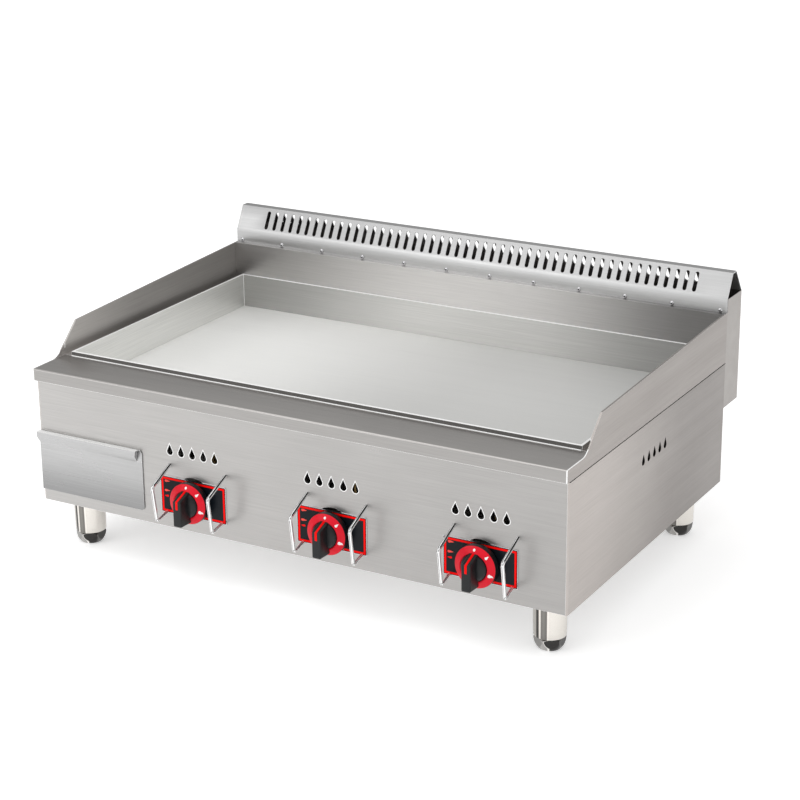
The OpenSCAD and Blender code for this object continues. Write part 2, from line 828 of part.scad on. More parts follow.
// The drawer front's sheet seen from the side, flared forward into a lip at its top
module drawer_side() {
    t = sheet_t;
    top = drawer_z + drawer_h;
    flare = top - lip_h;
    y1 = -drawer_gap;
    polygon([
        [y1 - t, drawer_z], [y1, drawer_z], [y1, flare], [y1 + t - lip_out, top - 8],
        [y1 + t - lip_out, top - t], [y1, top - t], [y1, top],
        [y1 - lip_out, top], [y1 - lip_out, top - 8.5], [y1 - t, flare - 0.5]
    ]);
}

module drawer_front() {
    top = drawer_z + drawer_h;
    w = drawer_w;
    h = drawer_h;
    c = corner_cut;
    lip_w = w - 7;
    color("lightgray") rest() {
        intersection() {
            along_x(-half_w, drawer_x) drawer_side();
            along_y(-lip_out - 2, 0) translate([-half_w, drawer_z]) {
                difference() {
                    square([w, h - lip_h]);
                    translate([w - c, 0]) difference() {
                        square(c);
                        translate([0, c]) circle(r = c);
                    }
                }
                polygon([[0, h - lip_h], [lip_w - 3, h - lip_h], [lip_w, h], [0, h]]);
            }
        }
        along_x(drawer_x - 10 - sheet_t, drawer_x - 10) polygon([
            [-drawer_gap - sheet_t, top - lip_h], [-drawer_gap - lip_out, top - 8.5],
            [-drawer_gap - lip_out, top], [-drawer_gap - sheet_t, top]
        ]);
        along_y(-drawer_gap - sheet_t, -drawer_gap) translate([drawer_x - c - 8, top - lip_h - 2]) {
            square([c + 8, lip_h + 2 - c]);
            square([8, lip_h + 2]);
            translate([8, lip_h + 2 - c]) circle(r = c);
        }
    }
}

module drawer_tray() {
    color("silver") rest() difference() {
        block([tray_x0, -drawer_gap, tray_z], [tray_x1, tray_d, tray_top]);
        block([tray_x0 + tray_t, tray_t, tray_z + tray_t],
              [tray_x1 - tray_t, tray_d - tray_t, tray_top + 1]);
    }
}

module drawer_runners() {
    web = 3;
    color("darkgray") rest() for (x = [tray_x0, tray_x1]) {
        s = x == tray_x0 ? -1 : 1;
        near = x + s * web;
        far = near + s * runner_t;
        block([min(near, far), sheet_t, sheet_t], [max(near, far), tray_d + 20, tray_z + 30]);
        block([min(near, near - s * 14), sheet_t, runner_z - runner_t],
              [max(near, near - s * 14), tray_d + 20, runner_z]);
    }
}

// Legs

module at_leg(sx, row) {
    translate([sx * leg_x, leg_y[row], 0]) children();
}

// Tapered tube with a mounting flange and a threaded bush at its lower end
module leg(sx, row) {
    low = foot_h + seat_gap - leg_h;
    color("silver") rest() at_leg(sx, row) difference() {
        union() {
            translate([-leg_flange / 2, -leg_flange / 2, -2.5]) cube([leg_flange, leg_flange, 2.5]);
            translate([0, 0, low]) cylinder(h = -low, r1 = leg_low_r, r2 = leg_r);
        }
        translate([0, 0, low + bush_h]) cylinder(h = -low, r = leg_low_r - leg_wall);
        translate([0, 0, low - 1]) cylinder(h = bush_h + 2, r = stud_r + run_gap);
    }
}

module leg_front_left() { leg(-1, 0); }
module leg_front_right() { leg(1, 0); }
module leg_rear_left() { leg(-1, 1); }
module leg_rear_right() { leg(1, 1); }

// Hexagonal bullet foot with a rounded underside and a stud up into the leg
module foot(sx, row) {
    low = -leg_h;
    r = leg_low_r - 0.5;
    color("dimgray") rest() at_leg(sx, row) translate([0, 0, low]) {
        intersection() {
            cylinder(h = foot_h, r = r + 1, $fn = 6);
            rotate_extrude() polygon([
                [0, 0], [r * 0.62, 0], [r * 0.8, foot_h * 0.1], [r * 0.93, foot_h * 0.28],
                [r, foot_h * 0.55], [r, foot_h * 0.8], [r - 2.5, foot_h], [0, foot_h]
            ]);
        }
        translate([0, 0, foot_h - 1]) cylinder(h = min(stud_l, leg_h - foot_h - 4), r = stud_r);
    }
}

module foot_front_left() { foot(-1, 0); }
module foot_front_right() { foot(1, 0); }
module foot_rear_left() { foot(-1, 1); }
module foot_rear_right() { foot(1, 1); }

base_pan();
left_side_panel();
right_side_panel();
front_panel();
back_panel();
top_seal();
front_ledge();
left_splash();
right_splash();
back_splash();
griddle_plate();
griddle_walls();
flue_box();
vent_hood();
hood_screws();
heat_shield();
burner_left();
burner_middle();
burner_right();
burner_rails();
gas_manifold();
gas_inlet();
tap_body_1();
tap_body_2();
tap_body_3();
tap_plug_1();
tap_plug_2();
tap_plug_3();
tap_spindle_1();
tap_spindle_2();
tap_spindle_3();
tap_spring_1();
tap_spring_2();
tap_spring_3();
injectors();
pilot_burners();
knob_dial_1();
knob_dial_2();
knob_dial_3();
knob_grip_1();
knob_grip_2();
knob_grip_3();
label_plate_1();
label_plate_2();
label_plate_3();
knob_guards_1();
knob_guards_2();
knob_guards_3();
drawer_front();
drawer_tray();
drawer_runners();
grease_chute();
leg_front_left();
leg_front_right();
leg_rear_left();
leg_rear_right();
foot_front_left();
foot_front_right();
foot_rear_left();
foot_rear_right();
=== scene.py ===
import json
import math
import bmesh
import bpy
from mathutils import Matrix, Vector


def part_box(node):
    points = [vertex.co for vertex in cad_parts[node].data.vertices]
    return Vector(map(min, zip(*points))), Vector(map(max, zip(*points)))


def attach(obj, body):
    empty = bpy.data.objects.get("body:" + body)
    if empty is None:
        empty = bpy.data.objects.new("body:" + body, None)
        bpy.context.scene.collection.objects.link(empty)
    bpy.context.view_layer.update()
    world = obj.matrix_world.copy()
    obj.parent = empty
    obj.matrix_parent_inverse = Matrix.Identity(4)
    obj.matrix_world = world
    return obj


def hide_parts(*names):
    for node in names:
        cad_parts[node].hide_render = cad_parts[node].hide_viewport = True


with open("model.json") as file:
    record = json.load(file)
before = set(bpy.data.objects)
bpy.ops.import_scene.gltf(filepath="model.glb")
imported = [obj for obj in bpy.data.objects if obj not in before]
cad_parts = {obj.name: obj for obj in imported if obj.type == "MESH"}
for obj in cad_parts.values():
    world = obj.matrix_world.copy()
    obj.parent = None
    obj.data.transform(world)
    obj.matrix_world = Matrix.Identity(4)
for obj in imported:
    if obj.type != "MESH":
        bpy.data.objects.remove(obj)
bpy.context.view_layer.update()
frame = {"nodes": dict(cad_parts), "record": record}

scene = bpy.context.scene
nodes = frame["nodes"]
bodyOf = {n: b for b, members in frame["record"]["behaviour"]["bodies"].items() for n in members}
mm = 0.001
print("frame loaded:", len(nodes), "nodes")


# view, floor and light

cameraLook = {"place": (1.59131, -2.75751, 1.36512), "yaw": 29.57, "down": 19.68, "roll": -0.5,
              "lens": 98.09, "sensor": 36}


def addCamera(look):
    data = bpy.data.cameras.new("camera")
    data.lens, data.sensor_width, data.clip_end = look["lens"], look["sensor"], 50
    camera = bpy.data.objects.new("camera", data)
    scene.collection.objects.link(camera)
    turn = Matrix.Rotation(math.radians(look["yaw"]), 4, "Z")
    tilt = Matrix.Rotation(math.radians(90 - look["down"]), 4, "X")
    roll = Matrix.Rotation(math.radians(look["roll"]), 4, "Z")
    camera.matrix_world = Matrix.Translation(look["place"]) @ turn @ tilt @ roll
    scene.camera = camera


floorLook = {"size": 30, "glow": 0.42, "grey": 0.93, "rough": 0.9, "shine": 0.1}


def addFloor(look):
    # a light table, so the shadows stay pale
    bm = bmesh.new()
    bmesh.ops.create_grid(bm, x_segments=2, y_segments=2, size=look["size"])
    mesh = bpy.data.meshes.new("floor")
    bm.to_mesh(mesh)
    bm.free()
    floor = bpy.data.objects.new("floor", mesh)
    scene.collection.objects.link(floor)
    material = bpy.data.materials.new("floorPaint")
    material.use_nodes = True
    shader = material.node_tree.nodes["Principled BSDF"]
    shader.inputs["Base Color"].default_value = (look["grey"], look["grey"], look["grey"], 1)
    shader.inputs["Roughness"].default_value = look["rough"]
    shader.inputs["Specular IOR Level"].default_value = look["shine"]
    shader.inputs["Emission Color"].default_value = (1, 1, 1, 1)
    shader.inputs["Emission Strength"].default_value = look["glow"]
    mesh.materials.append(material)


softboxes = {
    "overheadBox": {"place": (-0.6, -0.6, 2.6), "target": (0, 0, 0.1), "size": (2.4, 2.0), "power": 16},
    "frontBox": {"place": (-1.6, -2.4, 1.3), "target": (0, 0, 0.15), "size": (1.6, 1.2), "power": 12},
}


def addSoftbox(name, look):
    data = bpy.data.lights.new(name, "AREA")
    data.shape, data.energy = "RECTANGLE", look["power"]
    data.size, data.size_y = look["size"]
    lamp = bpy.data.objects.new(name, data)
    scene.collection.objects.link(lamp)
    aim = (Vector(look["target"]) - Vector(look["place"])).to_track_quat("-Z", "Y")
    lamp.matrix_world = Matrix.Translation(look["place"]) @ aim.to_matrix().to_4x4()


roomLook = {"sky": 1.0, "behind": 0.42, "top": 0.62, "low": 0.30, "near": 0.25, "far": 0.7}


def addRoom(look):
    # an even bright room, with a grey band low down behind the griddle
    world = bpy.data.worlds.new("room")
    scene.world = world
    world.use_nodes = True
    tree = world.node_tree
    tree.nodes.clear()
    where = tree.nodes.new("ShaderNodeTexCoord")
    axes = tree.nodes.new("ShaderNodeSeparateXYZ")
    tree.links.new(where.outputs["Generated"], axes.inputs[0])

    def ramp(socket, low, high):
        node = tree.nodes.new("ShaderNodeMapRange")
        node.interpolation_type = "SMOOTHSTEP"
        node.inputs["From Min"].default_value, node.inputs["From Max"].default_value = low, high
        tree.links.new(socket, node.inputs["Value"])
        return node.outputs["Result"]

    behind = ramp(axes.outputs["Y"], look["near"], look["far"])
    lowDown = ramp(axes.outputs["Z"], look["top"], look["low"])
    dark = tree.nodes.new("ShaderNodeMath")
    dark.operation = "MULTIPLY"
    tree.links.new(behind, dark.inputs[0])
    tree.links.new(lowDown, dark.inputs[1])
    level = tree.nodes.new("ShaderNodeMapRange")
    level.inputs["To Min"].default_value, level.inputs["To Max"].default_value = look["sky"], look["behind"]
    tree.links.new(dark.outputs[0], level.inputs["Value"])
    sky = tree.nodes.new("ShaderNodeBackground")
    out = tree.nodes.new("ShaderNodeOutputWorld")
    tree.links.new(level.outputs["Result"], sky.inputs["Strength"])
    tree.links.new(sky.outputs[0], out.inputs[0])


scene.view_settings.view_transform = "Standard"
addCamera(cameraLook)
addFloor(floorLook)
addRoom(roomLook)
for name, look in softboxes.items():
    addSoftbox(name, look)
print("view, floor and light are in place")


# finishes

def group(name, inputs, outputs):
    tree = bpy.data.node_groups.new(name, "ShaderNodeTree")
    for label, kind, value in inputs:
        socket = tree.interface.new_socket(label, in_out="INPUT", socket_type=kind)
        socket.default_value = value
    for label, kind in outputs:
        tree.interface.new_socket(label, in_out="OUTPUT", socket_type=kind)
    return tree, tree.nodes.new("NodeGroupInput"), tree.nodes.new("NodeGroupOutput")


def noiseNode(tree, vector, scale, detail=2.0, rough=0.5):
    noise = tree.nodes.new("ShaderNodeTexNoise")
    noise.inputs["Scale"].default_value = scale
    noise.inputs["Detail"].default_value = detail
    noise.inputs["Roughness"].default_value = rough
    tree.links.new(vector, noise.inputs["Vector"])
    return noise.outputs["Fac"]


def mathNode(tree, kind, a, b, c=None):
    node = tree.nodes.new("ShaderNodeMath")
    node.operation = kind
    for slot, value in zip(node.inputs, (a, b, c)):
        if value is None:
            continue
        if isinstance(value, (int, float)):
            slot.default_value = value
        else:
            tree.links.new(value, slot)
    return node.outputs[0]


def makeBrushGroup():
    # streaks along the brushing direction, broad bands across it, and faint hand marks
    tree, given, put = group(
        "brushing",
        [("Stretch", "NodeSocketVector", (4, 400, 400)), ("Marks Size", "NodeSocketFloat", 6.0)],
        [("Streaks", "NodeSocketFloat"), ("Bands", "NodeSocketFloat"), ("Marks", "NodeSocketFloat"),
         ("Height", "NodeSocketFloat")])
    where = tree.nodes.new("ShaderNodeTexCoord").outputs["Object"]
    stretched = tree.nodes.new("ShaderNodeVectorMath")
    stretched.operation = "MULTIPLY"
    tree.links.new(where, stretched.inputs[0])
    tree.links.new(given.outputs["Stretch"], stretched.inputs[1])
    fine = noiseNode(tree, stretched.outputs[0], 2.2, 4.0, 0.62)
    bands = noiseNode(tree, stretched.outputs[0], 0.16, 2.0, 0.5)
    marks = noiseNode(tree, where, 6.0, 3.0, 0.55)
    tree.links.new(given.outputs["Marks Size"], marks.node.inputs["Scale"])
    tree.links.new(fine, put.inputs["Streaks"])
    tree.links.new(bands, put.inputs["Bands"])
    tree.links.new(marks, put.inputs["Marks"])
    tree.links.new(mathNode(tree, "MULTIPLY_ADD", bands, 0.35, fine), put.inputs["Height"])
    return tree


brushGroup = makeBrushGroup()


def mapped(tree, value, low, high, fromLow=0.3, fromHigh=0.7):
    node = tree.nodes.new("ShaderNodeMapRange")
    node.inputs["From Min"].default_value, node.inputs["From Max"].default_value = fromLow, fromHigh
    node.inputs["To Min"].default_value, node.inputs["To Max"].default_value = low, high
    tree.links.new(value, node.inputs["Value"])
    return node.outputs["Result"]


def blended(tree, factor, first, second):
    mix = tree.nodes.new("ShaderNodeMix")
    mix.data_type = "RGBA"
    mix.inputs[6].default_value, mix.inputs[7].default_value = (*first, 1), (*second, 1)
    tree.links.new(factor, mix.inputs[0])
    return mix.outputs[2]


def makePaintedReflectionGroup():
    # painted reflection on a polished round surface: dark and light streaks that turn with the surface,
    # painted into the colour
    tree, given, put = group(
        "paintedReflectionStreaks", [("Count", "NodeSocketFloat", 2.0), ("Edge", "NodeSocketFloat", 0.06)],
        [("Tone", "NodeSocketFloat")])
    facing = tree.nodes.new("ShaderNodeTexCoord").outputs["Normal"]
    bands = noiseNode(tree, facing, 2.0, 1.5, 0.45)
    tree.links.new(given.outputs["Count"], bands.node.inputs["Scale"])
    lifted = mathNode(tree, "SUBTRACT", bands, 0.47)
    tone = mathNode(tree, "DIVIDE", lifted, given.outputs["Edge"])
    clamped = tree.nodes.new("ShaderNodeClamp")
    tree.links.new(mathNode(tree, "ADD", tone, 0.5), clamped.inputs["Value"])
    tree.links.new(clamped.outputs[0], put.inputs["Tone"])
    return tree


paintedReflectionGroup = makePaintedReflectionGroup()


def makePaintedBandsGroup(name, stops):
    # painted reflection: upright bars of light and dark painted round a polished post: each stop is (part
    # of a turn, tone)
    tree, _, put = group(name, [], [("Tone", "NodeSocketFloat")])
    where = tree.nodes.new("ShaderNodeSeparateXYZ")
    tree.links.new(tree.nodes.new("ShaderNodeTexCoord").outputs["Normal"], where.inputs[0])
    facing = mathNode(tree, "MULTIPLY", where.outputs["Y"], -1.0)
    angle = mathNode(tree, "ARCTAN2", where.outputs["X"], facing)
    turn = mapped(tree, angle, 0, 1, -math.pi, math.pi)
    ramp = tree.nodes.new("ShaderNodeValToRGB")
    tones = ramp.color_ramp.elements
    tones[0].position, tones[1].position = stops[0][0], stops[-1][0]
    for part, _ in stops[1:-1]:
        tones.new(part)
    for element, (part, tone) in zip(tones, stops):
        element.color = (tone, tone, tone, 1)
    tree.links.new(turn, ramp.inputs[0])
    tree.links.new(ramp.outputs[0], put.inputs["Tone"])
    return tree


paintedPostBands = makePaintedBandsGroup("paintedPostBars", [
    (0.0, 0.45), (0.415, 0.51), (0.43, 0.07), (0.455, 0.07), (0.462, 0.83), (0.476, 0.85), (0.482, 0.20),
    (0.51, 0.24), (0.54, 0.17), (0.546, 0.95), (0.56, 0.76), (0.72, 0.76), (0.83, 0.62), (1.0, 0.45)])
paintedFootBands = makePaintedBandsGroup("paintedFootBars", [
    (0.0, 0.30), (0.44, 0.30), (0.47, 0.50), (0.54, 0.40), (0.548, 0.90), (0.56, 0.90), (0.575, 0.05),
    (0.66, 0.05), (0.70, 0.22), (0.76, 0.05), (0.9, 0.30), (1.0, 0.30)])


def shaded(tree, colour, tone):
    # a colour times a grey value
    mix = tree.nodes.new("ShaderNodeMix")
    mix.data_type, mix.blend_type = "RGBA", "MULTIPLY"
    mix.inputs[0].default_value = 1.0
    tree.links.new(colour, mix.inputs[6])
    tree.links.new(tone, mix.inputs[7])
    return mix.outputs[2]


def paintedLightFade(tree, paintedLightFades):
    # painted light and shade as a slow change of tone along the axes: each fade is (axis, from, to, first
    # tone, last tone)
    where = tree.nodes.new("ShaderNodeSeparateXYZ")
    tree.links.new(tree.nodes.new("ShaderNodeTexCoord").outputs["Object"], where.inputs[0])
    tone = None
    for axis, start, end, first, last in paintedLightFades:
        step = mapped(tree, where.outputs[axis], first, last, start, end)
        step.node.interpolation_type = "SMOOTHSTEP"
        tone = step if tone is None else mathNode(tree, "MULTIPLY", tone, step)
    return tone


def newMaterial(name):
    material = bpy.data.materials.new(name)
    material.use_nodes = True
    return material, material.node_tree, material.node_tree.nodes["Principled BSDF"]


def placed(tree, shared, **settings):
    # a shared effect put into a material
    node = tree.nodes.new("ShaderNodeGroup")
    node.node_tree = shared
    for label, value in settings.items():
        node.inputs[label].default_value = value
    return node


def varied(tree, mask, colour, spread):
    # a little darker and lighter than the colour
    dark = tuple(c * (1 - spread) for c in colour)
    light = tuple(min(1, c * (1 + spread)) for c in colour)
    return blended(tree, mapped(tree, mask, 0, 1), dark, light)


def bumped(tree, shader, height, strength, depth):
    bump = tree.nodes.new("ShaderNodeBump")
    bump.inputs["Strength"].default_value = strength
    bump.inputs["Distance"].default_value = depth * mm
    tree.links.new(height, bump.inputs["Height"])
    tree.links.new(bump.outputs["Normal"], shader.inputs["Normal"])


def steel(name, colour, rough, stretch, depth=0.012, spread=0.07, marks=0.05, paintedLightFades=(), paintedReflection=None,
          paintedBands=None, metal=1.0):
    material, tree, shader = newMaterial(name)
    shader.inputs["Metallic"].default_value = metal
    brush = placed(tree, brushGroup, Stretch=stretch)
    tint = varied(tree, brush.outputs["Streaks"], colour, spread)
    # painted light and shade: tone ramps along the axes multiplied into the colour
    if paintedLightFades:
        tint = shaded(tree, tint, paintedLightFade(tree, paintedLightFades))
    # painted reflection: dark and light streaks multiplied into the colour
    if paintedReflection:
        paintedGlint = placed(tree, paintedReflectionGroup, Count=paintedReflection["count"], Edge=paintedReflection["edge"])
        tint = shaded(tree, tint, mapped(tree, paintedGlint.outputs["Tone"], paintedReflection["dark"], 1.0, 0, 1))
    # painted reflection: bars of light and dark round a post, multiplied into the colour
    if paintedBands:
        tint = shaded(tree, tint, placed(tree, paintedBands).outputs["Tone"])
    tree.links.new(tint, shader.inputs["Base Color"])
    patchy = mapped(tree, brush.outputs["Marks"], -marks, marks)
    fine = mapped(tree, brush.outputs["Bands"], rough - 0.03, rough + 0.03)
    tree.links.new(mathNode(tree, "ADD", fine, patchy), shader.inputs["Roughness"])
    bumped(tree, shader, brush.outputs["Height"], 0.35, depth)
    return material


def makeSpeckleGroup():
    # a moulded or cast surface: a fine pebble and slow clouds of tone
    tree, given, put = group(
        "pebble", [("Size", "NodeSocketFloat", 900.0)],
        [("Grain", "NodeSocketFloat"), ("Clouds", "NodeSocketFloat")])
    where = tree.nodes.new("ShaderNodeTexCoord").outputs["Object"]
    grain = noiseNode(tree, where, 900.0, 3.0, 0.6)
    tree.links.new(given.outputs["Size"], grain.node.inputs["Scale"])
    tree.links.new(grain, put.inputs["Grain"])
    tree.links.new(noiseNode(tree, where, 25.0, 3.0, 0.5), put.inputs["Clouds"])
    return tree


speckleGroup = makeSpeckleGroup()


def moulded(name, colour, rough, metallic=0.0, size=900.0, depth=0.03, spread=0.12, coat=0.0, shine=0.5):
    material, tree, shader = newMaterial(name)
    shader.inputs["Metallic"].default_value = metallic
    shader.inputs["Specular IOR Level"].default_value = shine
    shader.inputs["Coat Weight"].default_value = coat
    shader.inputs["Coat Roughness"].default_value = 0.08
    pebble = placed(tree, speckleGroup, Size=size)
    tree.links.new(varied(tree, pebble.outputs["Clouds"], colour, spread), shader.inputs["Base Color"])
    roughness = mapped(tree, pebble.outputs["Grain"], rough - 0.05, rough + 0.05)
    tree.links.new(roughness, shader.inputs["Roughness"])
    bumped(tree, shader, pebble.outputs["Grain"], 0.4, depth)
    return material


alongX, alongY, upright, fineGrain = (5, 420, 420), (420, 5, 420), (60, 60, 900), (300, 300, 300)
finish = {
    # front panel: painted shade, darker towards the right
    "front": steel("frontSteel", (0.435, 0.425, 0.415), 0.34, alongX,
                   paintedLightFades=[("X", -0.45, 0.45, 1.0, 0.87)]),
    # drawer front: painted shade, darker towards the bottom
    "drawer": steel("drawerSteel", (0.455, 0.455, 0.455), 0.30, alongX,
                    paintedLightFades=[("Z", 0.17, 0.09, 1.0, 0.60)]),
    # side panels: painted shade, darker towards the back
    "side": steel("sideSteel", (0.47, 0.435, 0.412), 0.36, alongY,
                  paintedLightFades=[("Y", -0.27, 0.15, 1.0, 0.53)]),
    # back panel and flue box: a darker copy of the steel, painted shade
    "rear": steel("rearSteel", (0.335, 0.315, 0.30), 0.36, alongX),
    # ledge: painted shade, darker towards the left end
    "ledge": steel("ledgeSteel", (0.44, 0.425, 0.41), 0.34, alongX, marks=0.02,
                   paintedLightFades=[("X", -0.43, 0.0, 0.90, 1.0)]),
    # the ledge's front faces: a darker copy of the ledge steel, painted shade
    "ledgeLip": steel("ledgeLipSteel", (0.345, 0.335, 0.325), 0.34, alongX, marks=0.02),
    # left splash: a lighter copy of the steel, painted light, with painted shade darker towards the back
    "splashLeft": steel("splashLeftSteel", (0.62, 0.595, 0.575), 0.50, alongY, marks=0.02,
                        paintedLightFades=[("Y", -0.27, 0.0, 0.98, 0.62)]),
    # right splash: a darker copy of the steel, painted shade, a little darker again towards the back
    "splashRight": steel("splashRightSteel", (0.385, 0.357, 0.338), 0.42, alongY, marks=0.02,
                         paintedLightFades=[("Y", -0.27, 0.05, 1.0, 0.86)]),
    # back splash: painted reflection, dark at both ends and light in the middle
    "backSplash": steel("backSplashSteel", (0.67, 0.655, 0.645), 0.38, alongX, marks=0.02,
                        paintedLightFades=[("X", -0.38, 0.04, 0.66, 1.0), ("X", 0.1, 0.42, 1.0, 0.32)]),
    # plate: near white and partly non-metal for painted light, with painted shade darker towards the right
    "plate": steel("plateSteel", (0.98, 0.98, 0.96), 0.56, alongX, spread=0.02, marks=0.03, metal=0.6,
                   paintedLightFades=[("X", -0.32, 0.12, 1.0, 0.66)]),
    # side walls of the tank: a light copy of the steel, painted light from the bright plate
    "wallSide": steel("wallSideSteel", (0.84, 0.84, 0.82), 0.46, alongY, marks=0.02),
    # back wall: painted reflection, dark at both ends and light in the middle
    "wallBack": steel("wallBackSteel", (0.66, 0.655, 0.64), 0.44, alongX, marks=0.02,
                      paintedLightFades=[("X", -0.34, -0.02, 0.62, 1.0), ("X", 0.1, 0.4, 1.0, 0.48)]),
    # outer face of the front wall: a dark copy of the steel, painted shade
    "wallFront": steel("wallFrontSteel", (0.16, 0.155, 0.15), 0.5, alongX, marks=0.02),
    # hood: painted shade, darker towards the left end
    "hood": steel("hoodSteel", (0.52, 0.52, 0.52), 0.38, alongX, marks=0.02,
                  paintedLightFades=[("X", -0.45, 0.1, 0.86, 1.0)]),
    # painted highlight: a near-white, mostly non-metal finish for edges, bevels and narrow faces where
    # light catches
    "edge": steel("paintedHighlightEdge", (0.97, 0.97, 0.96), 0.55, fineGrain, marks=0.02, metal=0.15),
    "inner": steel("innerSteel", (0.45, 0.44, 0.43), 0.42, alongX, marks=0.1),
    # legs and feet: painted reflection bars darken and lighten the colour round each post
    "polished": steel("polishedSteel", (0.97, 0.93, 0.87), 0.14, upright, 0.004, 0.03, 0.02,
                      paintedBands=paintedPostBands),
    "footSteel": steel("footSteel", (0.95, 0.93, 0.90), 0.18, upright, 0.004, 0.04, 0.03,
                       paintedBands=paintedFootBands),
    # guard chrome: painted reflection streaks in the colour
    "chrome": steel("guardChrome", (0.94, 0.94, 0.94), 0.07, fineGrain, 0.003, 0.02, 0.02,
                    paintedReflection={"count": 3.2, "edge": 0.08, "dark": 0.06}, metal=0.6),
    "plated": steel("platedSteel", (0.62, 0.62, 0.63), 0.24, (500, 500, 500), 0.01),
    "brass": moulded("brass", (0.72, 0.50, 0.22), 0.30, 1.0, 500.0, 0.02, 0.08),
    "castIron": moulded("castIron", (0.09, 0.088, 0.09), 0.62, 0.6, 700.0, 0.25, 0.2),
    "seal": moulded("blackSeal", (0.012, 0.012, 0.012), 0.6),
    "dial": moulded("dialRed", (0.72, 0.010, 0.026), 0.34, coat=0.03, shine=0.12),
    "grip": moulded("gripBlack", (0.008, 0.009, 0.010), 0.32, shine=0.30),
    "labelFace": moulded("labelBlack", (0.005, 0.007, 0.010), 0.34, shine=0.16),
}

nodeFinish = {
    "front": ["front_panel"],
    "drawer": ["drawer_front"],
    "side": ["right_side_panel", "left_side_panel"],
    "rear": ["back_panel", "flue_box"],
    "ledge": ["front_ledge"],
    "splashLeft": ["left_splash"],
    "splashRight": ["right_splash"],
    "backSplash": ["back_splash"],
    "plate": ["griddle_plate"],
    "wallSide": ["griddle_walls"],
    "hood": ["vent_hood"],
    "inner": ["base_pan", "drawer_tray", "drawer_runners", "grease_chute", "heat_shield", "burner_rails"],
    "polished": ["leg_front_left", "leg_front_right", "leg_rear_left", "leg_rear_right"],
    "footSteel": ["foot_front_left", "foot_front_right", "foot_rear_left", "foot_rear_right"],
    "chrome": ["knob_guards_1", "knob_guards_2", "knob_guards_3"],
    "plated": ["hood_screws", *[f"tap_{p}_{i}" for p in ("spindle", "spring") for i in (1, 2, 3)]],
    "brass": ["gas_manifold", "gas_inlet", "injectors",
              *[f"tap_{p}_{i}" for p in ("body", "plug") for i in (1, 2, 3)]],
    "castIron": ["burner_left", "burner_middle", "burner_right", "pilot_burners"],
    "seal": ["top_seal"],
    "dial": ["knob_dial_1", "knob_dial_2", "knob_dial_3"],
    "grip": ["knob_grip_1", "knob_grip_2", "knob_grip_3"],
    "labelFace": ["label_plate_1", "label_plate_2", "label_plate_3"],
}
for look, members in nodeFinish.items():
    for name in members:
        nodes[name].data.materials.clear()
        nodes[name].data.materials.append(finish[look])
print("finishes are made")


# ways of making a mesh

def fromOutline(outline, low, high, hole=None):
    # a sheet in the (x, z) plane between two depths; the hole is a second outline
    bm = bmesh.new()
    loops = [outline] + ([hole] if hole else [])
    edges = []
    for loop in loops:
        ring = [bm.verts.new((x, low, z)) for x, z in loop]
        edges += [bm.edges.new((ring[k], ring[(k + 1) % len(ring)])) for k in range(len(ring))]
    filled = bmesh.ops.triangle_fill(bm, edges=edges, use_beauty=True)["geom"]
    faces = [item for item in filled if isinstance(item, bmesh.types.BMFace)]
    made = bmesh.ops.extrude_face_region(bm, geom=faces)["geom"]
    far = [item for item in made if isinstance(item, bmesh.types.BMVert)]
    bmesh.ops.translate(bm, verts=far, vec=(0, high - low, 0))
    bmesh.ops.dissolve_limit(bm, angle_limit=0.01, verts=bm.verts, edges=bm.edges)
    bmesh.ops.recalc_face_normals(bm, faces=bm.faces)
    return bm


def lathed(profile, sides=96):
    # turned about the Y axis; each profile point is (radius, y)
    bm = bmesh.new()
    rings = []
    for radius, y in profile:
        if radius < 1e-7:
            rings.append([bm.verts.new((0, y, 0))])
        else:
            rings.append([bm.verts.new((radius * math.sin(a), y, radius * math.cos(a)))
                          for a in (2 * math.pi * k / sides for k in range(sides))])
    for first, second in zip(rings, rings[1:]):
        for k in range(sides):
            quad = [first[k % len(first)], first[(k + 1) % len(first)],
                    second[(k + 1) % len(second)], second[k % len(second)]]
            corners = list(dict.fromkeys(quad))
            if len(corners) > 2:
                bm.faces.new(corners)
    bmesh.ops.recalc_face_normals(bm, faces=bm.faces)
    return bm


def rounded(points, radius, steps=6):
    # the corners of an open path, each turned into an arc
    path = [Vector(points[0])]
    for before, corner, after in zip(points, points[1:], points[2:]):
        corner = Vector(corner)
        back, ahead = (Vector(before) - corner).normalized(), (Vector(after) - corner).normalized()
        half = back.angle(ahead) / 2
        middle = corner + (back + ahead).normalized() * radius / math.sin(half)
        start = corner + back * radius / math.tan(half) - middle
        end = corner + ahead * radius / math.tan(half) - middle
        turn = start.rotation_difference(end)
        for k in range(steps + 1):
            path.append(middle + Matrix.Rotation(turn.angle * k / steps, 3, turn.axis) @ start)
    path.append(Vector(points[-1]))
    return path


def walled(bm, rings):
    # the faces between closed rings of points
    count = len(rings[0])
    for first, second in zip(rings, rings[1:]):
        for k in range(count):
            bm.faces.new((first[k], first[(k + 1) % count], second[(k + 1) % count], second[k]))


def swept(path, radius, sides=16):
    # a round wire along a path
    bm = bmesh.new()
    rings = []
    side = Vector((0, 0, 1)) if abs((path[1] - path[0]).normalized().x) > 0.9 else Vector((1, 0, 0))
    for k, point in enumerate(path):
        ahead = (path[min(k + 1, len(path) - 1)] - path[max(k - 1, 0)]).normalized()
        side = (side - ahead * side.dot(ahead)).normalized()
        up = ahead.cross(side)
        rings.append([bm.verts.new(point + radius * (side * math.cos(a) + up * math.sin(a)))
                      for a in (2 * math.pi * j / sides for j in range(sides))])
    walled(bm, rings)
    bm.faces.new(rings[0][::-1])
    bm.faces.new(rings[-1])
    bmesh.ops.recalc_face_normals(bm, faces=bm.faces)
    return bm


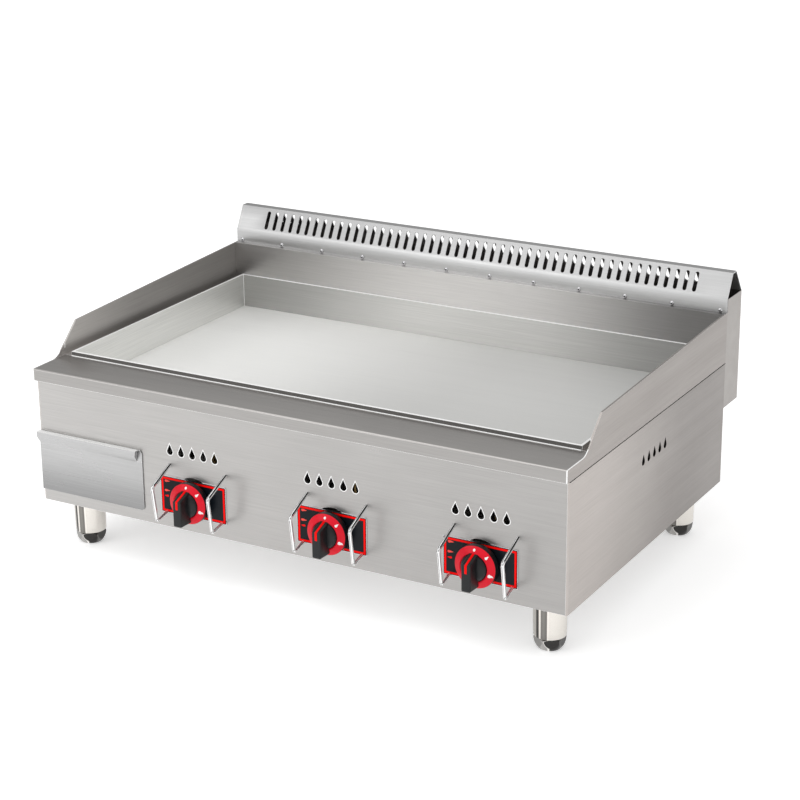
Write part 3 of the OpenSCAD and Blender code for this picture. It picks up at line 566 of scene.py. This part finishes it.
def cornered(width, height, radius, steps=5, middle=(0, 0)):
    # a rectangle with round corners
    outline = []
    for sx, sz, start in ((1, 1, 0), (-1, 1, 90), (-1, -1, 180), (1, -1, 270)):
        for k in range(steps + 1):
            a = math.radians(start + 90 * k / steps)
            outline.append((middle[0] + sx * (width / 2 - radius) + radius * math.cos(a),
                            middle[1] + sz * (height / 2 - radius) + radius * math.sin(a)))
    return outline


def circled(radius, steps=48, middle=(0, 0)):
    return [(middle[0] + radius * math.cos(2 * math.pi * k / steps),
             middle[1] + radius * math.sin(2 * math.pi * k / steps)) for k in range(steps)]


def cadCopy(name):
    # a CAD node's own mesh, with its flat faces whole again
    bm = bmesh.new()
    bm.from_mesh(nodes[name].data)
    bmesh.ops.remove_doubles(bm, verts=bm.verts, dist=2e-6)
    bmesh.ops.dissolve_limit(bm, angle_limit=math.radians(0.4), verts=bm.verts, edges=bm.edges)
    return bm


def piece(name, parts, body, standsFor=(), bevel=0.0, place=(0, 0, 0), smooth=35, segments=2):
    # several meshes, each with its own material, become one piece of the griddle
    whole = bmesh.new()
    materials = []
    for bm, material in parts:
        if material not in materials:
            materials.append(material)
        part = bpy.data.meshes.new("part")
        bm.to_mesh(part)
        bm.free()
        before = len(whole.faces)
        whole.from_mesh(part)
        whole.faces.ensure_lookup_table()
        for face in whole.faces[before:]:
            face.material_index = materials.index(material)
        bpy.data.meshes.remove(part)
    bmesh.ops.translate(whole, verts=whole.verts, vec=place)
    for face in whole.faces:
        face.smooth = True
    for edge in whole.edges:
        edge.smooth = len(edge.link_faces) != 2 or edge.calc_face_angle(0) < math.radians(smooth)
    mesh = bpy.data.meshes.new(name)
    whole.to_mesh(mesh)
    whole.free()
    made = bpy.data.objects.new(name, mesh)
    scene.collection.objects.link(made)
    for material in materials:
        mesh.materials.append(material)
    if bevel:
        edging = made.modifiers.new("edging", "BEVEL")
        edging.width, edging.segments, edging.limit_method = bevel, segments, "ANGLE"
        edging.angle_limit = math.radians(smooth)
        edging.harden_normals = True
    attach(made, body)
    if standsFor:
        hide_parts(*standsFor)
    return made


def softened(name, look, bevel, others=(), paintedHighlightEdges=False):
    # the same piece with eased edges; each other finish has a rule that picks its faces. When asked, the
    # bevels take the painted highlight finish.
    made = piece(name + "_eased", [(cadCopy(name), finish[look])], bodyOf[name], (name,), bevel)
    if paintedHighlightEdges:
        made.data.materials.append(finish["edge"])
        made.modifiers["edging"].material = 1
    for otherLook, picks in others:
        made.data.materials.append(finish[otherLook])
        for face in made.data.polygons:
            if picks(face):
                face.material_index = len(made.data.materials) - 1


thinSheet = 1.8 * mm


def sheared(face):
    # the narrow face along the edge of a sheet
    points = [face.id_data.vertices[k].co for k in face.vertices]
    longest = max((a - b).length for a, b in zip(points, points[1:] + points[:1]))
    return face.area / longest < thinSheet


def middleOf(name):
    low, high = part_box(name)
    return (Vector(low) + Vector(high)) / 2


# sheet metal

easedEdges = {
    "front_panel": ("front", 0.85), "right_side_panel": ("side", 0.3), "left_side_panel": ("side", 0.3),
    "back_panel": ("rear", 0.3), "flue_box": ("rear", 0.5), "front_ledge": ("ledge", 0.55),
    "left_splash": ("splashLeft", 0.3), "right_splash": ("splashRight", 0.3),
    "back_splash": ("backSplash", 0.3), "griddle_walls": ("wallSide", 0.5),
    "griddle_plate": ("plate", 0.6), "vent_hood": ("hood", 0.35), "drawer_front": ("drawer", 0.4),
    "drawer_tray": ("inner", 0.3), "base_pan": ("inner", 0.4),
}
# pieces whose bevels take the painted highlight finish
paintedHighlightEdged = {"front_panel", "front_ledge", "drawer_front", "right_splash", "griddle_walls"}
# other finishes by face: each edge pick is a painted highlight, the ledge lip and front wall picks are
# painted shade, the back wall pick is a painted reflection
otherFaces = {
    "front_ledge": [("ledgeLip", lambda face: face.normal.y < -0.9)],
    "left_splash": [("edge", sheared)],
    "right_splash": [("edge", sheared)],
    "back_splash": [("edge", lambda face: sheared(face) and abs(face.normal.x) > 0.9)],
    "griddle_walls": [
        ("wallBack", lambda face: face.normal.y < -0.9 and face.center.y > 0),
        ("wallFront", lambda face: face.normal.y < -0.9 and face.center.y < 0),
        ("edge", lambda face: face.normal.z > 0.9),
    ],
    "drawer_front": [("edge", lambda face: face.normal.z > 0.9 and face.center.z > 0.1)],
}
for name, (look, width) in easedEdges.items():
    softened(name, look, width * mm, otherFaces.get(name, ()), name in paintedHighlightEdged)

weldLook = {"radius": 1.1, "short": 1.0, "sides": 10}


def addRimWeld(look):
    # a weld bead at the foot of the front wall, in the painted highlight finish so it shows as a bright
    # line
    low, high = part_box("griddle_walls")
    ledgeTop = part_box("front_ledge")[1][2]
    radius, short = look["radius"] * mm, look["short"] * mm
    path = [Vector((x, low[1] - radius / 2, ledgeTop)) for x in (low[0] + short, high[0] - short)]
    weld = swept(path, radius, look["sides"])
    piece("rim_weld", [(weld, finish["edge"])], bodyOf["griddle_walls"])


addRimWeld(weldLook)

dropLook = {"radius": 5.2, "high": 17.4, "pitch": 20.0, "count": 5, "aboveKnob": 74.0,
            "rim": 1.1, "rise": 0.12, "sunk": 0.4, "steps": 24}


def dropOutline(look, grown, middle):
    # a round end and two straight sides up to a point, all moved out by the same amount
    radius = look["radius"] * mm + grown
    reach = (look["high"] - look["radius"]) * mm
    turn = math.asin(look["radius"] * mm / reach)
    centre = (middle[0], middle[1] + (look["radius"] - look["high"] / 2) * mm)
    points = []
    for k in range(look["steps"] + 1):
        a = turn - k * (math.pi + 2 * turn) / look["steps"]
        points.append((centre[0] + radius * math.cos(a), centre[1] + radius * math.sin(a)))
    points.append((centre[0], centre[1] + radius / math.sin(turn)))
    return points


def addDropRims(look):
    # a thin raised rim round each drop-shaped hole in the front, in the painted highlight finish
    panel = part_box("front_panel")[0][1]
    front, back = panel - look["rise"] * mm, panel + look["sunk"] * mm
    offsets = [(k - (look["count"] - 1) / 2) * look["pitch"] * mm for k in range(look["count"])]
    rims = []
    for knob in (middleOf(f"knob_dial_{i}") for i in (1, 2, 3)):
        for along in offsets:
            middle = (knob.x + along, knob.z + look["aboveKnob"] * mm)
            outline = dropOutline(look, look["rim"] * mm, middle)
            rims.append((fromOutline(outline, front, back, dropOutline(look, 0, middle)), finish["edge"]))
    piece("front_drop_rims", rims, bodyOf["front_panel"])


addDropRims(dropLook)
print("sheet metal is eased:", len(easedEdges), "pieces")


# knobs and their label plates

# radii and, in a profile, (radius, distance back from the front or the rim)
dialLook = {"hub": 20.2, "edge": 31.95, "rim": 4.6, "dot": 1.9, "markRadius": 26.6, "flameAt": (46, 108),
            "outer": (31.2, -0.3), "inner": (23.4, 0.5), "bezelStep": 31.0, "ease": 0.9,
            "ringEdge": (31.6, 31.65), "ringLip": ((22.6, 0.08), (21.6, 0.0), (20.8, 0.35)), "lipFoot": 1.2}
gripLook = {"base": 7.4, "front": 7.0, "tail": 27.8, "tip": 21.8, "slope": 8.8, "corner": 1.6, "ease": 1.3,
            "foot": 1.0, "dome": 6.2, "bore": 4.0, "hub": 20.0, "crown": 19.6}
pointerLook = {"width": 3.6, "raise": 0.3, "down": 12.5, "sunk": 0.6, "bevel": 0.12}
labelLook = {"inset": 0.7, "face": 0.18, "border": (1.9, 3.2), "print": 0.12, "hole": 6.0}

dialRed, gripBlack, labelBlack = finish["dial"], finish["grip"], finish["labelFace"]
printRed = moulded("printRed", (0.93, 0.004, 0.003), 0.4, spread=0.04, shine=0.06)
printPink = moulded("printPink", (0.90, 0.09, 0.07), 0.4, shine=0.1)
printWhite = moulded("printWhite", (0.92, 0.92, 0.91), 0.4, shine=0.2)
printBlue = moulded("printBlue", (0.10, 0.26, 0.34), 0.4, shine=0.1)

flameShape = [(0, -2.6), (1.5, -2.3), (2.2, -1.1), (1.9, 0.3), (0.9, 1.6), (0.7, 3.4),
              (-0.6, 1.9), (-1.1, 0.7), (-1.4, -0.4), (-2.1, -0.9), (-1.6, -2.0)]
bigFlameShape = [(0.2, -3.6), (2.2, -3.1), (2.9, -1.5), (2.3, 0.4), (1.2, 1.9), (1.6, 4.2),
                 (-0.5, 2.9), (-1.9, 1.2), (-1.2, -0.1), (-2.4, -0.6), (-2.6, -2.2), (-1.4, -3.3)]


def smoothLoop(points, rounds=2):
    for _ in range(rounds):
        points = [q for k, p in enumerate(points) for n in (points[(k + 1) % len(points)],)
                  for q in ((0.75 * p[0] + 0.25 * n[0], 0.75 * p[1] + 0.25 * n[1]),
                            (0.25 * p[0] + 0.75 * n[0], 0.25 * p[1] + 0.75 * n[1]))]
    return points


def turnedLoop(points, degrees, radius):
    # upright at the top of a dial, then carried round it clockwise
    a = math.radians(degrees)
    return [(x * math.cos(a) + (z + radius) * math.sin(a), (z + radius) * math.cos(a) - x * math.sin(a))
            for x, z in points]


def arcBand(radius, width, start, end, steps=14):
    turns = [math.radians(start + (end - start) * k / steps) for k in range(steps + 1)]
    outer = [((radius + width / 2) * math.sin(a), (radius + width / 2) * math.cos(a)) for a in turns]
    inner = [((radius - width / 2) * math.sin(a), (radius - width / 2) * math.cos(a)) for a in turns]
    return outer + inner[::-1]


def inMetres(points):
    return [(x * mm, z * mm) for x, z in points]


def onDial(outline, slopeOf):
    # an inlay whose top follows the dial's sloping front
    bm = fromOutline(inMetres(outline), 0, mm)
    for v in bm.verts:
        proud = -0.14 if v.co.y < mm / 2 else 0.8
        v.co.y = slopeOf(math.hypot(v.co.x, v.co.z)) + proud * mm
    return bm


def lofted(levels):
    # closed outlines with the same number of points, joined level by level: (y, outline)
    bm = bmesh.new()
    rings = [[bm.verts.new((x * mm, y, z * mm)) for x, z in outline] for y, outline in levels]
    walled(bm, rings)
    bm.faces.new(rings[0])
    bm.faces.new(rings[-1][::-1])
    bmesh.ops.recalc_face_normals(bm, faces=bm.faces)
    return bm


def gripBar(look, back, front):
    # a bar that narrows towards the front, with its front edges rounded
    levels = []
    depth = back - front
    ease = look["ease"] * mm
    stations = [(k / 8, 0.0) for k in range(8)]
    stations += [(1, 1 - math.sin(math.radians(a))) for a in (0, 22, 45, 68, 90)]
    for part, inward in stations:
        y = back - (depth - ease) * part if part < 1 else front + ease * inward
        shrink = look["ease"] * (1 - math.cos(math.asin(1 - inward))) if part == 1 else 0
        share = (back - y) / depth
        half = look["front"] + (look["base"] - look["front"]) * (1 - share) ** 1.8 - shrink
        tip = look["tip"] - look["slope"] * share - shrink
        tail = look["tail"] - 0.6 * share - shrink
        levels.append((y, cornered(2 * half, tip + tail, look["corner"], 4, (0, (tip - tail) / 2))))
    return lofted(levels)


def pointerStrip(look, grip, back, front):
    # down the sloping end, over the corner and on along the front face
    lean = math.atan2(grip["slope"] * mm, back - front)
    off = look["raise"] * mm
    low = look["sunk"] * mm
    tip, corner = grip["tip"] * mm, (grip["tip"] - grip["slope"]) * mm
    out = Vector((-math.sin(lean), math.cos(lean)))
    line = [(Vector((back, tip)), out), (Vector((front, corner)), (out + Vector((-1, 0))).normalized()),
            (Vector((front, corner - look["down"] * mm)), Vector((-1, 0)))]
    bm = bmesh.new()
    rows = []
    half = look["width"] / 2 * mm
    for point, normal in line:
        top, under = point + normal * off, point - normal * low
        section = ((-half, under), (-half, top), (half, top), (half, under))
        rows.append([bm.verts.new((x, p[0], p[1])) for x, p in section])
    walled(bm, rows)
    bm.faces.new(rows[0])
    bm.faces.new(rows[-1][::-1])
    bmesh.ops.recalc_face_normals(bm, faces=bm.faces)
    bmesh.ops.bevel(bm, geom=bm.edges[:], offset=look["bevel"] * mm, segments=2, affect="EDGES",
                    profile=0.5)
    return bm


def addKnob(i):
    centre = middleOf(f"knob_dial_{i}")
    place = (centre.x, 0, centre.z)
    low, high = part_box(f"knob_dial_{i}")
    back, front = high[1], low[1]
    look = dialLook
    rim = front + look["rim"] * mm
    hub, edge, ease = look["hub"], look["edge"], look["ease"]
    outer = (look["outer"][0], rim + look["outer"][1] * mm)
    inner = (look["inner"][0], front + look["inner"][1] * mm)
    bezel = [(hub, back), (edge - ease, back), (edge, back - ease * mm), (edge, rim + 0.6 * mm),
             (edge - 0.2, rim + 0.1 * mm), (look["bezelStep"], rim), (hub, rim), (hub, back)]
    ringBack = rim + 0.2 * mm
    ring = [(hub, ringBack), (look["ringEdge"][0], ringBack), (look["ringEdge"][1], rim), outer, inner]
    ring += [(radius, front + down * mm) for radius, down in look["ringLip"]]
    ring += [(hub, front + look["lipFoot"] * mm), (hub, ringBack)]
    dial, under = (lathed([(r * mm, y) for r, y in line], 128) for line in (ring, bezel))
    for half in (dial, under):
        bmesh.ops.remove_doubles(half, verts=half.verts, dist=1e-6)

    def slopeOf(radius):
        share = (outer[0] * mm - radius) / ((outer[0] - inner[0]) * mm)
        return outer[1] + (inner[1] - outer[1]) * share

    marks = [circled(look["dot"], 24, (0, look["markRadius"])),
             turnedLoop(smoothLoop(flameShape), look["flameAt"][0], look["markRadius"]),
             turnedLoop(smoothLoop(bigFlameShape), look["flameAt"][1], look["markRadius"])]
    parts = [(dial, dialRed), (under, gripBlack)]
    parts += [(onDial(mark, slopeOf), printWhite) for mark in marks]
    dialName = f"knob_dial_{i}"
    piece(f"dialRing_{i}", parts, f"knob_{i}", (dialName,), place=place, smooth=50)

    look = gripLook
    gripName = f"knob_grip_{i}"
    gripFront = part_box(gripName)[0][1]
    dome = [(look["bore"], back), (look["hub"] - 0.6, back), (look["hub"], back - 0.6 * mm),
            (look["hub"], front + 0.6 * mm), (look["crown"], front - 0.3 * mm)]
    for degrees in (12, 24, 36, 48, 60, 72, 82):
        a = math.radians(degrees)
        dome.append((look["crown"] * math.cos(a), front - (0.3 + look["dome"] * math.sin(a)) * mm))
    dome.append((0, front - (0.3 + look["dome"]) * mm))
    hub = lathed([(r * mm, y) for r, y in dome], 96)
    bar = gripBar(look, front + look["foot"] * mm, gripFront)
    strip = pointerStrip(pointerLook, look, front - 0.2 * mm, gripFront)
    parts = [(hub, gripBlack), (bar, gripBlack), (strip, printRed)]
    piece(f"gripKnob_{i}", parts, f"knob_{i}", (gripName,), place=place, smooth=40)


# flames laid on their side at the label's left: length and height factors, place, ink
lyingFlames = [(1.75, 0.95, -46.5, 21.5, printPink), (1.75, 0.95, -47.0, 6.3, printPink),
               (-1.35, -0.85, -47.6, -2.2, printRed)]


def addLabel(i):
    name = f"label_plate_{i}"
    low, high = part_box(name)
    centre = middleOf(name)
    width, height = (high[0] - low[0]) / mm, (high[2] - low[2]) / mm
    front, back = low[1], high[1]
    look = labelLook
    faceFront = front - look["face"] * mm
    printFront = faceFront - look["print"] * mm
    down = (middleOf(f"knob_dial_{i}").z - centre.z) / mm
    spindleHole = inMetres(circled(look["hole"], 32, (0, down)))
    sheet = fromOutline(inMetres(cornered(width, height, 1.5)), front, back, spindleHole)
    inset = 2 * look["inset"]
    faceOutline = inMetres(cornered(width - inset, height - inset, 1.2))
    face = fromOutline(faceOutline, faceFront, front + 0.1 * mm, spindleHole)
    start, wide = look["border"]
    within = start + wide
    border = fromOutline(inMetres(cornered(width - 2 * start, height - 2 * start, 1.0)), printFront, front,
                         inMetres(cornered(width - 2 * within, height - 2 * within, 0.6)))
    marks = [(arcBand(23.4, 1.5, -52, -22), printRed), (arcBand(22.0, 1.7, 28, 60), printBlue),
             (circled(1.5, 20, (0, 23.6)), printWhite)]
    for long, high, right, up, ink in lyingFlames:
        lying = [(z * long + right, x * high + up) for x, z in smoothLoop(flameShape)]
        marks.append((lying, ink))
    parts = [(sheet, finish["plated"]), (face, labelBlack), (border, printRed)]
    parts += [(fromOutline(inMetres(loop), printFront, front), material) for loop, material in marks]
    piece(f"labelPlate_{i}", parts, "cabinet", (name,), place=(centre.x, 0, centre.z), smooth=30)


for i in (1, 2, 3):
    addKnob(i)
    addLabel(i)
print("knobs and labels are made")


# wire guards

guardLook = {"wire": 2.7, "bend": 6.0, "slope": 9.0, "side": 49.5, "lean": 8.0, "reach": 2.05,
             "topGap": 3.05, "bendDown": 21.25, "sunk": 1.2}


def addGuards(i):
    # both wires lean the same way: the bar stands to the right of its low end
    name = f"knob_guards_{i}"
    low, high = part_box(name)
    look = guardLook
    wire, lean = look["wire"] * mm, look["lean"] * mm
    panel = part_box("front_panel")[0][1] + look["sunk"] * mm
    knob = middleOf(f"knob_dial_{i}").x
    top, bottom = high[2] - look["topGap"] * mm, low[2] + wire
    front = low[1] + look["reach"] * mm
    parts = []
    for x in (knob - look["side"] * mm, knob + look["side"] * mm):
        corners = [(x + lean, panel, top), (x + lean, front, top - look["bendDown"] * mm),
                   (x + lean, front + look["slope"] * mm, bottom), (x, panel, bottom)]
        parts.append((swept(rounded(corners, look["bend"] * mm, 8), wire, 20), finish["chrome"]))
    piece(f"wireGuards_{i}", parts, "cabinet", (name,), smooth=60)


for i in (1, 2, 3):
    addGuards(i)
print("wire guards are bent")


# legs and feet

legLook = {"top": 25.0, "low": 24.0, "bore": 8.1, "wall": 2.0, "bush": 14.0, "inside": 22.0,
           "mouth": ((22.6, 0.0), (23.5, 0.3), (24.0, 1.2), (24.2, 10.0)),
           "flange": 70.0, "flangeDeep": 2.5, "flangeCorner": 6}
footLook = {"flat": 20.7, "dome": 23.6, "stud": 8.0, "height": 19.0, "sole": 14.0, "pitch": 1.0,
            "thread": 0.7, "belly": (0.93, 0.07, 2.1, 0.62), "shoulder": (0.86, 3.0, 1.5)}


def stood(bm):
    # from lying along Y to standing along Z
    bmesh.ops.rotate(bm, verts=bm.verts, cent=(0, 0, 0), matrix=Matrix.Rotation(math.radians(90), 3, "X"))
    return bm


def addLeg(corner):
    name = "leg_" + corner
    low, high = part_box(name)
    centre = middleOf(name)
    look = legLook
    foot, top = low[2], high[2]
    under, bush = top - look["flangeDeep"] * mm, foot + look["bush"] * mm
    tube = [(look["bore"], foot)] + [(radius, foot + up * mm) for radius, up in look["mouth"]]
    tube += [(look["top"], under), (look["top"] - look["wall"], under),
             (look["inside"], bush), (look["bore"], bush), (look["bore"], foot)]
    shell = stood(lathed([(r * mm, z) for r, z in tube], 96))
    bmesh.ops.remove_doubles(shell, verts=shell.verts, dist=1e-6)
    square = inMetres(cornered(look["flange"], look["flange"], look["flangeCorner"]))
    flange = stood(fromOutline(square, under, top, inMetres(circled(look["inside"], 48))))
    parts = [(shell, finish["polished"]), (flange, finish["inner"])]
    place = (centre.x, centre.y, 0)
    piece("polishedLeg_" + corner, parts, bodyOf[name], (name,), place=place, smooth=40)


def footShape(look, height):
    # a hexagon cut by a bullet: the flats end in scallops
    bm = bmesh.new()
    sides, rows = 144, 26
    full, start, power, fall = look["belly"]
    shoulder, inward, turn = look["shoulder"]
    rings = []
    for k in range(rows + 1):
        share = k / rows
        bullet = look["sole"]
        if share >= shoulder:
            bullet = look["dome"] - inward * ((share - shoulder) / (1 - shoulder)) ** turn
        elif k:
            bullet = look["dome"] * math.sqrt(1 - (1 - (share * full + start)) ** power * fall)
        ring = []
        for j in range(sides):
            a = 2 * math.pi * j / sides
            flat = look["flat"] / math.cos((a + math.pi / 6) % (math.pi / 3) - math.pi / 6)
            radius = min(bullet, flat) * mm
            ring.append(bm.verts.new((radius * math.cos(a), radius * math.sin(a), height * share)))
        rings.append(ring)
    walled(bm, rings)
    bm.faces.new(rings[0][::-1])
    bm.faces.new(rings[-1])
    bmesh.ops.recalc_face_normals(bm, faces=bm.faces)
    return bm


def addFoot(corner):
    name = "foot_" + corner
    low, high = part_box(name)
    centre = middleOf(name)
    look = footLook
    height, halfPitch = look["height"] * mm, look["pitch"] / 2 * mm
    bullet = footShape(look, height)
    bmesh.ops.translate(bullet, verts=bullet.verts, vec=(0, 0, low[2]))
    turns = int((high[2] - low[2] - height) / (look["pitch"] * mm))
    threads = []
    for k in range(turns * 2):
        radius = look["stud"] - (look["thread"] if k % 2 else 0)
        threads.append((radius * mm, low[2] + height - halfPitch + k * halfPitch))
    profile = [(0, threads[0][1])] + threads + [(look["stud"] * 0.8 * mm, high[2]), (0, high[2])]
    stud = stood(lathed(profile, 48))
    parts = [(bullet, finish["footSteel"]), (stud, finish["plated"])]
    place = (centre.x, centre.y, 0)
    piece("bulletFoot_" + corner, parts, bodyOf[name], (name,), place=place, smooth=28)


for corner in ("front_left", "front_right", "rear_left", "rear_right"):
    addLeg(corner)
    addFoot(corner)
print("legs and feet are made")


# hood screws

screwLook = {"count": 12, "head": 3.6, "rise": 2.0, "shank": 2.0, "shankTip": 1.2,
             "slotWide": 0.9, "slotLong": 3.6, "slotDeep": 0.8, "firstTurn": 17, "eachTurn": 47,
             "pan": ((0, 0.05), (1.2, 0.1), (2.2, 0.35), (3.0, 0.8), (3.5, 1.4))}


def addScrews(look):
    low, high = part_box("hood_screws")
    head, rise = look["head"] * mm, look["rise"] * mm
    front, face = low[1], low[1] + rise
    first, last = low[0] + head, high[0] - head
    wide, long = look["slotWide"] / 2, look["slotLong"] / 2
    quarter = [(wide, wide), (wide, long), (-wide, long)]
    quarters = ((1, 0), (0, 1), (-1, 0), (0, -1))
    cross = [(a * c - b * d, a * d + b * c) for c, d in quarters for a, b in quarter]
    parts = []
    for k in range(look["count"]):
        x = first + (last - first) * k / (look["count"] - 1)
        z = low[2] + head
        pan = [(radius * mm, front + down * mm) for radius, down in look["pan"]]
        cap = lathed(pan + [(head, face - 0.2 * mm), (head, face), (0, face)], 40)
        turn = math.radians(look["firstTurn"] + look["eachTurn"] * k)
        turned = [(x + (a * math.cos(turn) - b * math.sin(turn)) * mm,
                   z + (a * math.sin(turn) + b * math.cos(turn)) * mm) for a, b in cross]
        # the cross slot is a black cross set into the pan head: painted shade for the recess, not a cut
        paintedSlotShade = fromOutline(turned, front - 0.02 * mm, front + look["slotDeep"] * mm)
        shankEnd = [(look["shank"] * mm, high[1] - 1 * mm), (look["shankTip"] * mm, high[1]), (0, high[1])]
        shank = lathed([(0, face), (look["shank"] * mm, face)] + shankEnd, 24)
        for bm in (cap, shank):
            bmesh.ops.translate(bm, verts=bm.verts, vec=(x, 0, z))
        parts += [(cap, finish["plated"]), (paintedSlotShade, finish["seal"]), (shank, finish["plated"])]
    piece("panHeadScrews", parts, "cabinet", ("hood_screws",), smooth=40)


addScrews(screwLook)
print("hood screws are in")
